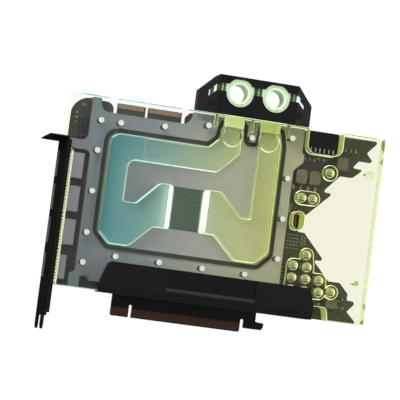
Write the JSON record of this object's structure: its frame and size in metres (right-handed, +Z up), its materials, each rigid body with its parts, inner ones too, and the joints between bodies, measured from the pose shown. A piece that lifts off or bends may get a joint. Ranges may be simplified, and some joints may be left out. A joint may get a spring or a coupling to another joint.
{
  "type": "gpu water block",
  "caption": "Clear full-cover liquid cooling block with a twin-port terminal, on a graphics card board with its slot bracket.",
  "frame": {"origin": "centre of the key notch of the board's edge connector, at the connector's lower edge and on the board's front face", "axes": "+X along the board away from the slot bracket, +Z up to the ports, -Y out of the block's front"},
  "size_m": [0.2196, 0.0393, 0.1746],
  "materials": {
    "board_black": "solder mask on glass laminate",
    "gold": "gold plated",
    "carrier_green": "laminate",
    "silicon": "polished",
    "chip_black": "moulded",
    "pad_grey": "soft pad",
    "coil_grey": "pressed powder",
    "can_metal": "satin",
    "small_parts": "ceramic",
    "socket_black": "moulded",
    "tin": "tin plated",
    "header_brown": "moulded",
    "shell_metal": "nickel plated",
    "bracket_black": "fine black paint",
    "screw_black": "black oxide",
    "plate_nickel": "nickel-plated copper, satin",
    "seal_dark": "matt",
    "clear_cover": "polished clear plastic",
    "clear_terminal": "polished clear plastic",
    "screw_steel": "bright",
    "hood_black": "matt black",
    "shroud_black": "matt black",
    "strip_white": "white mask",
    "light_white": "translucent"
  },
  "bodies": {
    "root": {"board": "board_black", "edge_contacts": "gold", "bridge_contacts": "gold", "processor_carrier": "carrier_green", "processor_die": "silicon", "memory_chips": "chip_black", "thermal_pads": "pad_grey", "power_stages": "chip_black", "square_coils": "coil_grey", "round_capacitors": "can_metal", "small_board_parts": "small_parts", "power_socket": "socket_black", "power_pins": "tin", "light_header": "header_brown", "light_header_pins": "gold", "side_header": "socket_black", "video_socket_shells": "shell_metal", "video_socket_tongues": "chip_black", "video_socket_bodies": "chip_black", "slot_bracket": "bracket_black", "bracket_screws": "screw_black", "cooling_plate": "plate_nickel", "sealing_cord": "seal_dark", "clear_cover": "clear_cover", "cover_screws": "screw_steel", "port_terminal": "clear_terminal", "port_seal_rings": "seal_dark", "terminal_screws": "screw_steel", "terminal_hood": "hood_black", "hood_screws": "screw_black", "lower_shroud": "shroud_black", "light_strip": "strip_white", "light_chips": "light_white", "board_screws": "screw_black", "end_standoff": "screw_steel"}
  },
  "joints": []
}
